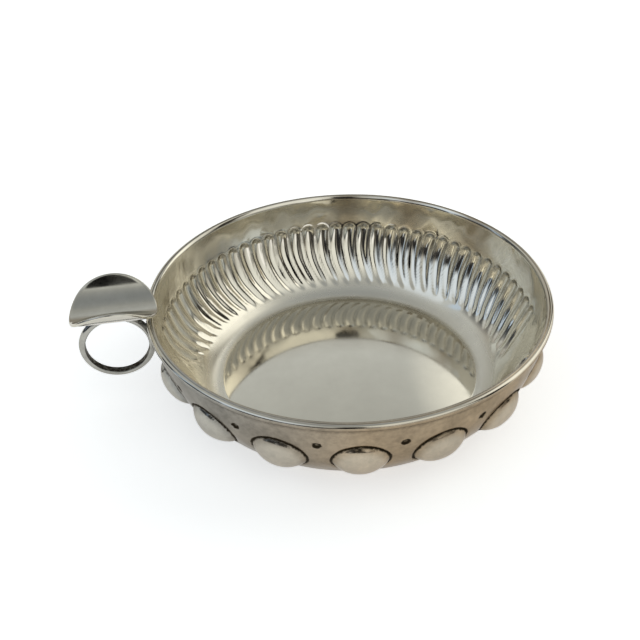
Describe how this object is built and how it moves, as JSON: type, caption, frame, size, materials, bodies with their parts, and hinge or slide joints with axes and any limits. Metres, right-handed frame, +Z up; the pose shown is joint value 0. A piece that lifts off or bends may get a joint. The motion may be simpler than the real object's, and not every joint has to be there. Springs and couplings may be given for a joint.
{
  "type": "tastevin",
  "caption": "Shallow round silver wine-tasting bowl with a domed centre, slanted flutes on one half, round bosses on the other, and a finger ring under a curved thumb plate.",
  "frame": {"origin": "on the bowl's axis, in the plane of the flat ring that the bowl stands on", "axes": "+Z up along the bowl's axis, -X along the handle, flutes on the +Y half and bosses on the -Y half"},
  "size_m": [0.1281, 0.108, 0.0362],
  "materials": {
    "silver": "polished silver, lightly worn",
    "solder": "silver solder, cleaned and buffed"
  },
  "bodies": {
    "root": {"bowl": "silver", "rim_wire": "silver", "finger_ring": "silver", "thumb_plate": "silver", "ring_to_bowl_solder": "solder", "plate_to_rim_solder": "solder", "plate_to_ring_solder": "solder"}
  },
  "joints": []
}
